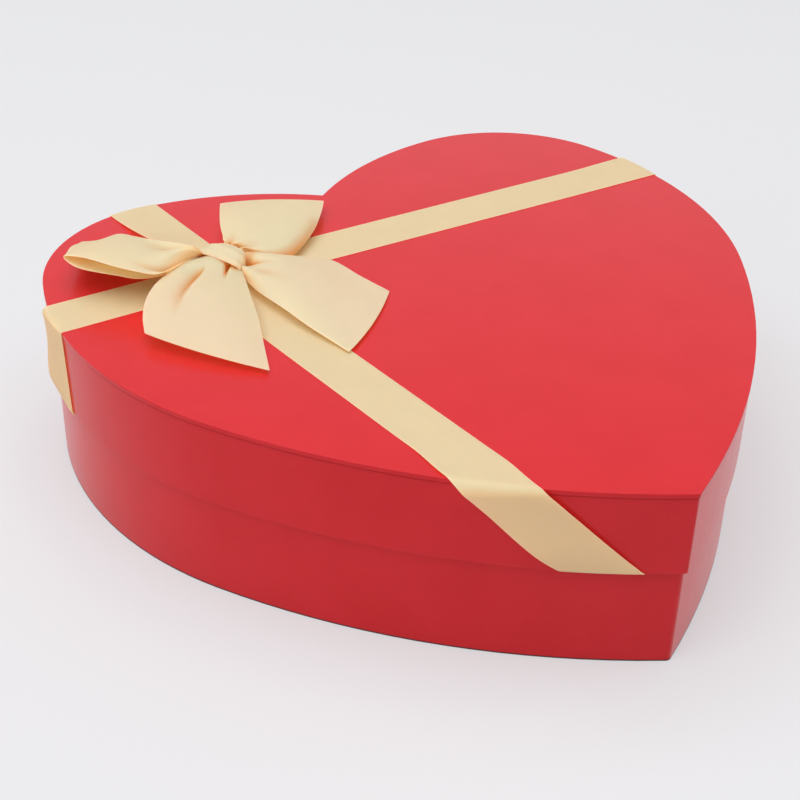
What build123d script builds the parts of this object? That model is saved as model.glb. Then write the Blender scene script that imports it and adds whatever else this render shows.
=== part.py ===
"""Valentine heart box: a rigid paperboard base, a lift-off lid, two glued ribbon bands and a bow.

Millimetres, +Z up. The origin is the middle of the box's footprint, on the surface that it stands on.
The heart's tip points along -Y and its notch along +Y. The bow sits on the lobe at -X.
"""
from build123d import *
from math import asin, atan2, cos, degrees, radians, sin, sqrt
import os

os.makedirs("parts", exist_ok=True)

# Heart outline at the edge of the lid's top panel. The right half is a chain of tangent arcs that
# runs clockwise from the notch, over the lobe and down the side to the tip on the centre line.
NOTCH_HEADING = 38.0  # degrees above +X
CROWN_RADIUS = 121.5
CROWN_SWEEP = 34.4
LOBE_RADIUS = 58.8
LOBE_SWEEP = 74.6
FLANK_RADIUS = 134.9
FLANK_SWEEP = 49.9
SIDE_RADIUS = 299.4
LID_TIP_ROUND = 1.6
BASE_TIP_ROUND = 2.5
LEAST_ROUND = 0.1  # corners below this radius stay sharp

# Heights of the closed box
BOX_HEIGHT = 70.5
LID_DEPTH = 31.6

# Sheet thicknesses
PANEL_BOARD = 1.4
FLOOR_BOARD = 1.4
WALL_BOARD = 0.7
PAPER = 0.25
TAPE = 0.1
RIBBON = 0.25

# How the paper wraps and the boards fit
PANEL_OVERHANG = 0.3
TURN_IN = 15.0
BOTTOM_MARGIN = 2.5
TUCK_CLEARANCE = 0.25
STAY_REACH = 12.0

# Bow: the place of its knot, which the bands pass under
KNOT_X = -62.8
KNOT_Y = 63.5
KNOT_RADIUS = 7.5
KNOT_HEIGHT = 9.0
KNOT_ROUND = 3.5
KNOT_GAP = 0.1
GLUE_RADIUS = 4.0
GLUE_HEIGHT = 1.0

# Ribbon bands glued over the lid. The long band runs from the notch side to the tip side, and its
# two stretches meet under the knot a little out of line, as the ribbon was pulled tight.
BAND_WIDTH = 20.0
CROSS_BAND_OFFSET = 1.0  # in Y from the knot
FRONT_BAND_OFFSET = -7.7  # in X from the knot
FRONT_BAND_TILT = 6.8  # degrees from the heart's own axis
BACK_BAND_OFFSET = -4.1
BACK_BAND_TILT = 5.8
HUMP_FLANK = 1.0
TUCK_LENGTH = 12.0

# Bow ribbon. Lengths run from the knot's middle, and angles count from +X.
BOW_RIBBON_WIDTH = 41.0
GATHER_WIDTH = 8.0  # width of the gathered ribbon where it leaves the knot
GATHER_LENGTH = 17.0  # distance over which it opens to its full width
LOOP_PUFF = 3.3  # how far a loop's upper layer arches over its straight line
LOOP_FOLD_RADIUS = 1.3
LEFT_LOOP_ANGLE = 147.3
LEFT_LOOP_ROLL = 14.0  # degrees that its near edge is lifted
LEFT_LOOP_LENGTH = 59.0
LEFT_LOOP_LIFT = 1.7  # gap between the lid and the lowest corner of the fold
RIGHT_LOOP_ANGLE = 46.0
RIGHT_LOOP_ROLL = 0.0
RIGHT_LOOP_LENGTH = 54.0
RIGHT_LOOP_LIFT = 2.7
TAIL_SHORT_SIDE = 55.5
TAIL_LONG_SIDE = 70.0
FRONT_TAIL_ANGLE = 235.5
FRONT_TAIL_RISE = 0.5  # where it leaves the knot, from the knot's middle height
FRONT_TAIL_ARCH = 3.0
FRONT_TAIL_LIFT = 3.5  # height of the cut end over the lid
RIGHT_TAIL_ANGLE = 294.0
RIGHT_TAIL_RISE = -0.5
RIGHT_TAIL_ARCH = 0.8
RIGHT_TAIL_LIFT = 1.4

# Levels that follow from the sizes above
LID_TOP_Z = BOX_HEIGHT
PANEL_Z = LID_TOP_Z - PANEL_BOARD - 2 * PAPER  # underside of the lid's top panel
RIM_Z = PANEL_Z - PAPER  # rim of the base, which carries the lid
LID_EDGE_Z = LID_TOP_Z - LID_DEPTH
FLOOR_Z = 2 * PAPER  # underside of the floor board
FLOOR_TOP_Z = FLOOR_Z + FLOOR_BOARD
CROSSING_Z = LID_TOP_Z + 2 * RIBBON
KNOT_Z = CROSSING_Z + GLUE_HEIGHT
KNOT_MIDDLE_Z = KNOT_Z + KNOT_HEIGHT / 2
BOW_DROP = LID_TOP_Z - KNOT_MIDDLE_Z  # the lid as seen from the middle of the knot

# Insets from the panel's edge to each face of the two walls
LID_FACE = PANEL_OVERHANG
LID_BOARD_FACE = LID_FACE + PAPER
LID_BOARD_BACK = LID_BOARD_FACE + WALL_BOARD
LID_INSIDE = LID_BOARD_BACK + PAPER
BASE_FACE = LID_INSIDE + RIBBON + TUCK_CLEARANCE
BASE_BOARD_FACE = BASE_FACE + PAPER
BASE_BOARD_BACK = BASE_BOARD_FACE + WALL_BOARD
BASE_INSIDE = BASE_BOARD_BACK + PAPER


def chain():
    """Each arc of the right half as (centre x, centre y, radius, heading where it ends in radians)."""
    heading = radians(NOTCH_HEADING)
    x = CROWN_RADIUS * sin(heading)
    y = -CROWN_RADIUS * cos(heading)
    radius = CROWN_RADIUS
    arcs = []
    for sweep, next_radius in (
        (CROWN_SWEEP, LOBE_RADIUS),
        (LOBE_SWEEP, FLANK_RADIUS),
        (FLANK_SWEEP, SIDE_RADIUS),
    ):
        heading -= radians(sweep)
        arcs.append((x, y, radius, heading))
        x += (next_radius - radius) * sin(heading)
        y -= (next_radius - radius) * cos(heading)
        radius = next_radius
    arcs.append((x, y, radius, -radians(180) - asin(x / radius)))
    return arcs


def on_arc(arc, inset, heading):
    """The point of an arc, drawn in by inset, where the outline runs along heading."""
    x, y, radius = arc[:3]
    return (x - (radius - inset) * sin(heading), y + (radius - inset) * cos(heading))


# The chain starts with its notch at zero, so it is moved until the heart is centred on the origin
LOBE_ARC = chain()[1]
SIDE_ARC = chain()[3]
LOBE_TOP = LOBE_ARC[1] + LOBE_ARC[2]
TIP = on_arc(SIDE_ARC, 0, SIDE_ARC[3])[1]
SHIFT_Y = -(LOBE_TOP + TIP) / 2
HEART_LENGTH = LOBE_TOP - TIP
ARCS = [(x, y + SHIFT_Y, radius, heading) for x, y, radius, heading in chain()]
TIP_Y = TIP + SHIFT_Y


def headings(inset):
    """The headings where each arc starts and ends, with the first and last arcs cut at the centre line."""
    first = asin(ARCS[0][0] / (ARCS[0][2] - inset))
    last = -radians(180) - asin(ARCS[-1][0] / (ARCS[-1][2] - inset))
    stops = [first] + [arc[3] for arc in ARCS[:-1]] + [last]
    return list(zip(stops[:-1], stops[1:]))


def heart(inset):
    """The heart's face, drawn in by inset from the edge of the lid's top panel."""
    with BuildSketch() as face:
        with BuildLine():
            for arc, (start, end) in zip(ARCS, headings(inset)):
                ThreePointArc(
                    on_arc(arc, inset, start),
                    on_arc(arc, inset, (start + end) / 2),
                    on_arc(arc, inset, end),
                )
            mirror(about=Plane.YZ)
        make_face()
        tip_round = LID_TIP_ROUND - inset
        if inset >= BASE_FACE:
            tip_round = BASE_TIP_ROUND - (inset - BASE_FACE)
        if tip_round >= LEAST_ROUND:
            fillet(face.vertices().sort_by(Axis.Y)[0], tip_round)
    return face.sketch


def ring(outer, inner):
    """The strip between two insets of the heart."""
    with BuildSketch() as face:
        add(heart(outer))
        add(heart(inner), mode=Mode.SUBTRACT)
    return face.sketch


def notch_y(inset):
    """Where the notch lies on the centre line at an inset."""
    return on_arc(ARCS[0], inset, headings(inset)[0][0])[1]


def corner_strip(outer, inner, corner_y):
    """The part of a ring that lies round the tip or the notch, within the reach of a stay tape."""
    with BuildSketch() as face:
        add(ring(outer, inner))
        with Locations((0, corner_y)):
            Rectangle(2 * STAY_REACH, 2 * STAY_REACH, mode=Mode.INTERSECT)
    return face.sketch


def write(piece, name):
    piece.part.label = name
    export_step(piece.part, f"parts/{name}.step")


# Base: floor, walls and stays
with BuildPart() as base_floor_board:
    with BuildSketch(Plane.XY.offset(FLOOR_Z)):
        add(heart(BASE_BOARD_BACK))
    extrude(amount=FLOOR_BOARD)
write(base_floor_board, "base_floor_board")

for side, half in (("right", Keep.TOP), ("left", Keep.BOTTOM)):
    with BuildPart() as base_wall_board:
        with BuildSketch(Plane.XY.offset(FLOOR_Z)):
            add(ring(BASE_BOARD_FACE, BASE_BOARD_BACK))
        extrude(amount=RIM_Z - PAPER - FLOOR_Z)
        split(bisect_by=Plane.YZ, keep=half)
    write(base_wall_board, f"base_{side}_wall_board")

CORNERS = {"tip": TIP_Y, "notch": notch_y(0)}
for corner, corner_y in CORNERS.items():
    with BuildPart() as base_stay_tape:
        with BuildSketch(Plane.XY.offset(FLOOR_Z)):
            add(corner_strip(BASE_BOARD_FACE - TAPE, BASE_BOARD_FACE, corner_y))
        extrude(amount=RIM_Z - PAPER - FLOOR_Z)
    write(base_stay_tape, f"base_{corner}_stay_tape")

# Base: the red paper runs under the floor, up the wall, over the rim and down inside
with BuildPart() as base_wall_cover:
    with BuildSketch(Plane.XY.offset(PAPER)):
        add(ring(BASE_FACE, BASE_BOARD_FACE))
    extrude(amount=RIM_Z - PAPER)
    with BuildSketch(Plane.XY.offset(PAPER)):
        add(ring(BASE_FACE, BASE_FACE + TURN_IN))
    extrude(amount=PAPER)
    with BuildSketch(Plane.XY.offset(RIM_Z)):
        add(ring(BASE_FACE, BASE_INSIDE))
    extrude(amount=-PAPER)
    with BuildSketch(Plane.XY.offset(RIM_Z)):
        add(ring(BASE_BOARD_BACK, BASE_INSIDE))
    extrude(amount=-TURN_IN)
    with BuildSketch(Plane.XY.offset(FLOOR_Z)):
        for corner_y in CORNERS.values():
            add(corner_strip(BASE_BOARD_FACE - TAPE, BASE_BOARD_FACE, corner_y))
    extrude(amount=RIM_Z - PAPER - FLOOR_Z, mode=Mode.SUBTRACT)
write(base_wall_cover, "base_wall_cover")

with BuildPart() as base_bottom_cover:
    with BuildSketch():
        add(heart(BASE_FACE + BOTTOM_MARGIN))
    extrude(amount=PAPER)
write(base_bottom_cover, "base_bottom_cover")

with BuildPart() as base_floor_liner:
    with BuildSketch(Plane.XY.offset(FLOOR_TOP_Z)):
        add(heart(BASE_INSIDE))
    extrude(amount=PAPER)
write(base_floor_liner, "base_floor_liner")

with BuildPart() as base_wall_liner:
    with BuildSketch(Plane.XY.offset(FLOOR_TOP_Z)):
        add(ring(BASE_BOARD_BACK, BASE_INSIDE))
    extrude(amount=RIM_Z - TURN_IN - FLOOR_TOP_Z)
write(base_wall_liner, "base_wall_liner")

# Lid: top panel, walls and stays
with BuildPart() as lid_top_board:
    with BuildSketch(Plane.XY.offset(PANEL_Z + PAPER)):
        add(heart(PAPER))
    extrude(amount=PANEL_BOARD)
write(lid_top_board, "lid_top_board")

with BuildPart() as lid_top_cover:
    with BuildSketch(Plane.XY.offset(PANEL_Z)):
        add(heart(0))
    extrude(amount=LID_TOP_Z - PANEL_Z)
    with BuildSketch(Plane.XY.offset(PANEL_Z + PAPER)):
        add(heart(PAPER))
    extrude(amount=PANEL_BOARD, mode=Mode.SUBTRACT)
    with BuildSketch(Plane.XY.offset(PANEL_Z)):
        add(heart(TURN_IN))
    extrude(amount=PAPER, mode=Mode.SUBTRACT)
write(lid_top_cover, "lid_top_cover")

with BuildPart() as lid_top_liner:
    with BuildSketch(Plane.XY.offset(RIM_Z)):
        add(heart(LID_BOARD_BACK))
    extrude(amount=PAPER)
write(lid_top_liner, "lid_top_liner")

LID_BOARD_Z = LID_EDGE_Z + PAPER
for side, half in (("right", Keep.TOP), ("left", Keep.BOTTOM)):
    with BuildPart() as lid_wall_board:
        with BuildSketch(Plane.XY.offset(LID_BOARD_Z)):
            add(ring(LID_BOARD_FACE, LID_BOARD_BACK))
        extrude(amount=PANEL_Z - LID_BOARD_Z)
        split(bisect_by=Plane.YZ, keep=half)
    write(lid_wall_board, f"lid_{side}_wall_board")

for corner, corner_y in CORNERS.items():
    with BuildPart() as lid_stay_tape:
        with BuildSketch(Plane.XY.offset(LID_BOARD_Z)):
            add(corner_strip(LID_BOARD_FACE - TAPE, LID_BOARD_FACE, corner_y))
        extrude(amount=PANEL_Z - LID_BOARD_Z)
    write(lid_stay_tape, f"lid_{corner}_stay_tape")

# Lid: the red paper runs down the wall, under its edge and up inside
with BuildPart() as lid_wall_cover:
    with BuildSketch(Plane.XY.offset(LID_EDGE_Z)):
        add(ring(LID_FACE, LID_BOARD_FACE))
    extrude(amount=PANEL_Z - LID_EDGE_Z)
    with BuildSketch(Plane.XY.offset(LID_EDGE_Z)):
        add(ring(LID_FACE, LID_INSIDE))
    extrude(amount=PAPER)
    with BuildSketch(Plane.XY.offset(LID_EDGE_Z)):
        add(ring(LID_BOARD_BACK, LID_INSIDE))
    extrude(amount=TURN_IN)
    with BuildSketch(Plane.XY.offset(LID_BOARD_Z)):
        for corner_y in CORNERS.values():
            add(corner_strip(LID_BOARD_FACE - TAPE, LID_BOARD_FACE, corner_y))
    extrude(amount=PANEL_Z - LID_BOARD_Z, mode=Mode.SUBTRACT)
write(lid_wall_cover, "lid_wall_cover")

with BuildPart() as lid_wall_liner:
    with BuildSketch(Plane.XY.offset(LID_EDGE_Z + TURN_IN)):
        add(ring(LID_BOARD_BACK, LID_INSIDE))
    extrude(amount=RIM_Z - LID_EDGE_Z - TURN_IN)
write(lid_wall_liner, "lid_wall_liner")


# Ribbon bands
def rim_crossing(start_point, direction):
    """Where a band from a point along direction meets the lid's edge: (point, outward normal)."""
    for mirror_x in (1, -1):
        start_x = start_point[0] * mirror_x
        step_x = direction[0] * mirror_x
        for arc, (start, end) in zip(ARCS, headings(0)):
            gap_x = start_x - arc[0]
            gap_y = start_point[1] - arc[1]
            along = gap_x * step_x + gap_y * direction[1]
            root = along**2 - gap_x**2 - gap_y**2 + arc[2] ** 2
            if root <= 0:
                continue
            reach = sqrt(root) - along
            x = start_x + reach * step_x
            y = start_point[1] + reach * direction[1]
            heading = atan2(arc[0] - x, y - arc[1])
            if heading > start:
                heading -= radians(360)
            if reach > 0 and end <= heading <= start and x >= 0:
                return (x * mirror_x, y), (-sin(heading) * mirror_x, cos(heading))
    raise ValueError("the band doesn't meet the edge of the lid")


def slanted_strip(plane, level_from, level_to, shift_from, shift_to, half_length):
    """A slanted strip on the tangent plane of the wall, thick enough to take in the wall's curve."""
    with BuildPart() as strip:
        with BuildSketch(plane):
            with BuildLine():
                Polyline(
                    (shift_from - half_length, level_from),
                    (shift_from + half_length, level_from),
                    (shift_to + half_length, level_to),
                    (shift_to - half_length, level_to),
                    close=True,
                )
            make_face()
        extrude(amount=LID_DEPTH, both=True)
    return strip.part


def band_drop(start_point, direction):
    """One end of a band: down the lid's wall, under its edge and up inside, straight when unrolled."""
    point, normal = rim_crossing(start_point, direction)
    plane = Plane(origin=(*point, LID_TOP_Z), x_dir=(-normal[1], normal[0], 0), z_dir=(*normal, 0))
    outward = direction[0] * normal[0] + direction[1] * normal[1]
    along = direction[1] * normal[0] - direction[0] * normal[1]
    slope = along / outward
    half_length = BAND_WIDTH / 2 / outward
    fold_level = -LID_DEPTH - RIBBON
    fold_shift = -slope * fold_level
    tuck_level = TUCK_LENGTH - LID_DEPTH
    tuck_shift = fold_shift + slope * (tuck_level - fold_level)
    with BuildPart() as outside:
        with BuildSketch(Plane.XY.offset(LID_EDGE_Z - RIBBON)):
            add(ring(-RIBBON, 0))
        extrude(amount=LID_DEPTH + 2 * RIBBON)
        add(slanted_strip(plane, RIBBON, fold_level, 0, fold_shift, half_length), mode=Mode.INTERSECT)
    with BuildPart() as inside:
        with BuildSketch(Plane.XY.offset(LID_EDGE_Z - RIBBON)):
            add(ring(-RIBBON, LID_INSIDE + RIBBON))
        extrude(amount=RIBBON)
        with BuildSketch(Plane.XY.offset(LID_EDGE_Z)):
            add(ring(LID_INSIDE, LID_INSIDE + RIBBON))
        extrude(amount=TUCK_LENGTH)
        add(
            slanted_strip(plane, fold_level, tuck_level, fold_shift, tuck_shift, half_length),
            mode=Mode.INTERSECT,
        )
    with BuildPart() as drop:
        add(outside.part)
        add(inside.part)
    return drop.part


def band_strip(start_point, direction, width):
    """A straight stretch of band on the lid, from half a width behind a point to the band's outer face."""
    angle = degrees(atan2(direction[1], direction[0]))
    with BuildSketch() as face:
        add(heart(-RIBBON))
        with Locations(Location((*start_point, 0), (0, 0, angle))):
            with Locations((-BAND_WIDTH / 2, 0)):
                Rectangle(
                    2 * HEART_LENGTH, width, align=(Align.MIN, Align.CENTER), mode=Mode.INTERSECT
                )
    return face.sketch


def cross_strip(width):
    """The cross band's straight stretch over the whole lid."""
    with BuildSketch() as face:
        add(band_strip(CROSS_START, RIGHTWARD, width))
        add(band_strip(CROSS_START, LEFTWARD, width))
    return face.sketch


RIGHTWARD = (1, 0)
LEFTWARD = (-1, 0)
FRONTWARD = (sin(radians(FRONT_BAND_TILT)), -cos(radians(FRONT_BAND_TILT)))
BACKWARD = (-sin(radians(BACK_BAND_TILT)), cos(radians(BACK_BAND_TILT)))
CROSS_START = (KNOT_X, KNOT_Y + CROSS_BAND_OFFSET)
FRONT_START = (KNOT_X + FRONT_BAND_OFFSET, KNOT_Y + CROSS_BAND_OFFSET)
BACK_START = (KNOT_X + BACK_BAND_OFFSET, KNOT_Y + CROSS_BAND_OFFSET)

with BuildPart() as ribbon_cross_band:
    with BuildSketch(Plane.XY.offset(LID_TOP_Z)):
        add(cross_strip(BAND_WIDTH))
    extrude(amount=RIBBON)
    add(band_drop(CROSS_START, RIGHTWARD))
    add(band_drop(CROSS_START, LEFTWARD))
write(ribbon_cross_band, "ribbon_cross_band")

with BuildPart() as ribbon_long_band:
    with BuildSketch(Plane.XY.offset(LID_TOP_Z)):
        add(band_strip(FRONT_START, FRONTWARD, BAND_WIDTH))
        add(band_strip(BACK_START, BACKWARD, BAND_WIDTH))
    extrude(amount=RIBBON)
    with BuildSketch(Plane.XY.offset(LID_TOP_Z)):
        add(band_strip(FRONT_START, FRONTWARD, BAND_WIDTH))
        add(band_strip(BACK_START, BACKWARD, BAND_WIDTH))
        add(cross_strip(BAND_WIDTH + 2 * HUMP_FLANK), mode=Mode.INTERSECT)
    extrude(amount=2 * RIBBON)
    with BuildSketch(Plane.XY.offset(LID_TOP_Z)):
        add(cross_strip(BAND_WIDTH))
    extrude(amount=RIBBON, mode=Mode.SUBTRACT)
    add(band_drop(FRONT_START, FRONTWARD))
    add(band_drop(BACK_START, BACKWARD))
write(ribbon_long_band, "ribbon_long_band")

# Bow
with BuildPart() as bow_glue_dot:
    with BuildSketch(Plane.XY.offset(CROSSING_Z)):
        with Locations((KNOT_X, KNOT_Y)):
            Circle(GLUE_RADIUS)
    extrude(amount=GLUE_HEIGHT)
write(bow_glue_dot, "bow_glue_dot")

with BuildPart() as bow_knot:
    with BuildSketch(Plane.XY.offset(KNOT_Z)):
        with Locations((KNOT_X, KNOT_Y)):
            Circle(KNOT_RADIUS)
    extrude(amount=KNOT_HEIGHT)
    fillet(bow_knot.edges().filter_by(GeomType.CIRCLE), KNOT_ROUND)
write(bow_knot, "bow_knot")

BOW_START = KNOT_RADIUS + KNOT_GAP
BOW_HALF = BOW_RIBBON_WIDTH / 2
GATHER_HALF = GATHER_WIDTH / 2
SHOULDER = BOW_START + GATHER_LENGTH


def bow_planes(angle, roll):
    """The upright plane along a bow piece, and the plane of its width, both through the knot's middle."""
    a = radians(angle)
    r = radians(roll)
    origin = (KNOT_X, KNOT_Y, KNOT_MIDDLE_Z)
    along = (cos(a), sin(a), 0)
    across = (-sin(a) * cos(r), cos(a) * cos(r), sin(r))
    up = (sin(a) * sin(r), -cos(a) * sin(r), cos(r))
    upright = Plane(origin=origin, x_dir=along, z_dir=(-across[0], -across[1], -across[2]))
    return upright, Plane(origin=origin, x_dir=along, z_dir=up)


def bow_loop(angle, roll, length, lift):
    """A flattened loop of ribbon that closes at the knot and widens from its gathers to its fold."""
    upright, level = bow_planes(angle, roll)
    root = (BOW_START, 0)
    fold = BOW_DROP + lift + BOW_HALF * sin(radians(roll)) + LOOP_FOLD_RADIUS
    fold_start = length - LOOP_FOLD_RADIUS
    fold_top = (fold_start, fold + LOOP_FOLD_RADIUS)
    fold_bottom = (fold_start, fold - LOOP_FOLD_RADIUS)
    crest = ((root[0] + fold_top[0]) / 2, (root[1] + fold_top[1]) / 2 + LOOP_PUFF)
    with BuildPart() as loop:
        with BuildSketch(upright):
            with BuildLine():
                ThreePointArc(root, crest, fold_top)
                ThreePointArc(fold_top, (length, fold), fold_bottom)
                Line(fold_bottom, root)
            make_face()
            offset(amount=-RIBBON, kind=Kind.INTERSECTION, mode=Mode.SUBTRACT)
        extrude(amount=BOW_HALF, both=True)
        with BuildSketch(level):
            with BuildLine():
                Polyline(
                    (BOW_START, -GATHER_HALF),
                    (SHOULDER, -BOW_HALF),
                    (length, -BOW_HALF),
                    (length, BOW_HALF),
                    (SHOULDER, BOW_HALF),
                    (BOW_START, GATHER_HALF),
                    close=True,
                )
            make_face()
        extrude(amount=BOW_HALF, both=True, mode=Mode.INTERSECT)
    return loop.part


def bow_tail(angle, rise, arch, lift, long_side):
    """A tail that arches from the knot to a slanted cut, longer on the side of the other tail."""
    upright, level = bow_planes(angle, 0)
    root = (BOW_START, rise)
    end = (TAIL_LONG_SIDE, BOW_DROP + lift)
    crest = ((root[0] + end[0]) / 2, (root[1] + end[1]) / 2 + arch)
    root_top = (root[0], root[1] + RIBBON)
    end_top = (end[0], end[1] + RIBBON)
    with BuildPart() as tail:
        with BuildSketch(upright):
            with BuildLine():
                ThreePointArc(root, crest, end)
                Line(end, end_top)
                ThreePointArc(end_top, (crest[0], crest[1] + RIBBON), root_top)
                Line(root_top, root)
            make_face()
        extrude(amount=BOW_HALF, both=True)
        with BuildSketch(level):
            with BuildLine():
                Polyline(
                    (BOW_START, long_side * GATHER_HALF),
                    (TAIL_LONG_SIDE, long_side * BOW_HALF),
                    (TAIL_SHORT_SIDE, -long_side * BOW_HALF),
                    (SHOULDER, -long_side * BOW_HALF),
                    (BOW_START, -long_side * GATHER_HALF),
                    close=True,
                )
            make_face()
        extrude(amount=BOW_HALF, both=True, mode=Mode.INTERSECT)
    return tail.part


with BuildPart() as bow_left_loop:
    add(bow_loop(LEFT_LOOP_ANGLE, LEFT_LOOP_ROLL, LEFT_LOOP_LENGTH, LEFT_LOOP_LIFT))
write(bow_left_loop, "bow_left_loop")

with BuildPart() as bow_right_loop:
    add(bow_loop(RIGHT_LOOP_ANGLE, RIGHT_LOOP_ROLL, RIGHT_LOOP_LENGTH, RIGHT_LOOP_LIFT))
write(bow_right_loop, "bow_right_loop")

with BuildPart() as bow_front_tail:
    add(bow_tail(FRONT_TAIL_ANGLE, FRONT_TAIL_RISE, FRONT_TAIL_ARCH, FRONT_TAIL_LIFT, 1))
write(bow_front_tail, "bow_front_tail")

with BuildPart() as bow_right_tail:
    add(bow_tail(RIGHT_TAIL_ANGLE, RIGHT_TAIL_RISE, RIGHT_TAIL_ARCH, RIGHT_TAIL_LIFT, -1))
write(bow_right_tail, "bow_right_tail")
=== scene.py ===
"""Looks of the valentine heart box: wrapped red paper, two satin ribbon bands and a tied satin bow.

Lengths here are millimetres in the part's own frame, and MM turns them into Blender's metres.
"""
from collections import namedtuple
from math import cos, pi, radians, sin

import bpy
import numpy as np
from mathutils import Matrix, Vector


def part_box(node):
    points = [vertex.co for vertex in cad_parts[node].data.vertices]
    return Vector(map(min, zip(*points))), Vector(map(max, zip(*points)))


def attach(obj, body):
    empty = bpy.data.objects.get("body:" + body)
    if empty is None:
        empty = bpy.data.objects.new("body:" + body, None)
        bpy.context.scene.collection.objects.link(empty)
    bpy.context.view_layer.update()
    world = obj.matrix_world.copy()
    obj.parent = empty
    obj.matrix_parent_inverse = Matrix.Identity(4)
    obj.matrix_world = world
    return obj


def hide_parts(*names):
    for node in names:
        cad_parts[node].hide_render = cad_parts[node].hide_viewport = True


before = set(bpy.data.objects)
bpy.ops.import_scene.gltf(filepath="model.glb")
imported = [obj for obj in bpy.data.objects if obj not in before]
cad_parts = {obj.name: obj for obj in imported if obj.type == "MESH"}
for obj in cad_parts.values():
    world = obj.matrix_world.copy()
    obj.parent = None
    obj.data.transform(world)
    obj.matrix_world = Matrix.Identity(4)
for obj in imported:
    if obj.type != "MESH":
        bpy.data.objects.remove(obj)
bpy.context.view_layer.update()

MM = 0.001


# Levels read from the frame
def level(node, top):
    """Height of a node's top or bottom."""
    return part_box(node)[1 if top else 0].z / MM


LID_TOP = level("lid_top_cover", True)
PANEL_UNDERSIDE = level("lid_top_cover", False)
LID_EDGE = level("lid_wall_cover", False)
BASE_FOOT = level("base_wall_cover", False)

# Camera, as the photograph was taken
CAMERA_AZIMUTH = radians(-32.370)
CAMERA_ELEVATION = radians(33.352)
CAMERA_ROLL = radians(-1.509)
CAMERA_PLACE = np.array([-284.86, -407.47, 356.05])
SENSOR_WIDTH = 36.0
FOCAL_LENGTH = 70.50
NEAR_CLIP = 0.01  # in metres

# Light and floor, in watts and metres
Lamp = namedtuple("Lamp", "name power size place")
LAMPS = (
    Lamp("overhead", power=47.5, size=2.6, place=(-0.30, 0.10, 1.8)),
    Lamp("side", power=6.3, size=1.2, place=(-1.6, -0.25, 0.75)),
    Lamp("fill", power=7.0, size=1.2, place=(1.5, -0.75, 0.62)),
)
WORLD_LIGHT = 0.14
WORLD_SEEN = 0.95  # the pale room, as the eye and a reflection see it
WORLD_TINT = (0.93, 0.965, 1.0, 1.0)
FLOOR_HALF = 6.0
FLOOR_GREY = (0.785, 0.785, 0.80, 1.0)
FLOOR_DULL = 0.985  # what its darkest clouds keep of the floor's colour
FLOOR_CLOUDS = 3.0  # clouds in each metre
FLOOR_ROUGHNESS = 0.7
FLOOR_PALE_SHARE = 0.55  # how much of the floor that the eye sees is its plain colour

# Ribbons
RIBBON = 0.25  # thickness of the satin
RIBBON_GAP = 0.03  # air under a ribbon that lies on the lid
WALL_GAP = 0.05  # air behind a ribbon that lies on a wall
BAND_WIDTH = 20.0
BOW_WIDTH = 41.0
SMOOTH_LEVELS = 1
FOLD_SHADE_MAP_ROW = 0.5  # second coordinate of the painted fold-shade map, which no material reads


# Meshes
def sheet_object(name, grid, across, along, folds=None):
    """A thin sheet through a grid of points, with its width and length in millimetres as its UV.

    Folds is the painted shade of folds, creases and the strap at each point, from 0 to 1, and goes into a UV
    map of its own.
    """
    rows, columns = grid.shape[:2]
    corners = [row * columns + column for row in range(rows - 1) for column in range(columns - 1)]
    faces = [(c, c + 1, c + columns + 1, c + columns) for c in corners]
    mesh = bpy.data.meshes.new(name)
    mesh.from_pydata((grid.reshape(-1, 3) * MM).tolist(), [], faces)
    place = np.dstack(np.broadcast_arrays(across[None, :], along[:, None])).reshape(-1, 2)
    depth = np.zeros(rows * columns) if folds is None else folds.reshape(-1)
    deep = np.column_stack([depth, np.full_like(depth, FOLD_SHADE_MAP_ROW)])
    for layer_name, values in (("ribbon", place), ("fold", deep)):
        layer = mesh.uv_layers.new(name=layer_name)
        for loop in mesh.loops:
            layer.data[loop.index].uv = values[loop.vertex_index]
    for face in mesh.polygons:
        face.use_smooth = True
    piece = bpy.data.objects.new(name, mesh)
    bpy.context.scene.collection.objects.link(piece)
    solid = piece.modifiers.new("thickness", "SOLIDIFY")
    solid.thickness = RIBBON * MM
    solid.offset = 0.0
    round_off = piece.modifiers.new("smooth", "SUBSURF")
    round_off.levels = SMOOTH_LEVELS
    round_off.render_levels = SMOOTH_LEVELS
    return piece


def curve_through(points, count):
    """A smooth run of count points through the given ones."""
    points = np.asarray(points, float)
    padded = np.vstack([2 * points[0] - points[1], points, 2 * points[-1] - points[-2]])
    spot = np.linspace(0, len(points) - 1, count)
    first = np.minimum(spot.astype(int), len(points) - 2)
    u = (spot - first)[:, None]
    p0, p1, p2, p3 = (padded[first + k] for k in range(4))
    return 0.5 * (
        2 * p1
        + (p2 - p0) * u
        + (2 * p0 - 5 * p1 + 4 * p2 - p3) * u**2
        + (3 * p1 - p0 - 3 * p2 + p3) * u**3
    )


def ease(value):
    """Smooth step from 0 to 1."""
    value = np.clip(value, 0, 1)
    return value * value * (3 - 2 * value)


def distances(points):
    """How far along a run of points each of them lies."""
    return np.concatenate([[0], np.cumsum(np.linalg.norm(np.diff(points, axis=0), axis=1))])


def unit(vectors):
    """Vectors brought to a length of 1."""
    return vectors / np.linalg.norm(vectors, axis=-1, keepdims=True)


def heading(angle):
    """The level direction at an angle in degrees."""
    return np.array([cos(radians(angle)), sin(radians(angle))])


def leftward(way):
    """A level direction turned by a quarter turn to its left."""
    return np.array([-way[1], way[0]])


def cross(first, second):
    """The area that two level vectors span."""
    return first[..., 0] * second[..., 1] - first[..., 1] * second[..., 0]


# Lid edge, read from the frame
SAME_LEVEL = 0.001  # points nearer than this in height are on one level
EDGE_DECIMALS = 3  # points of the edge that agree to this many decimals are one
EDGE_SPAN = 2.0  # how far to either side the edge's direction is measured


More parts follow.
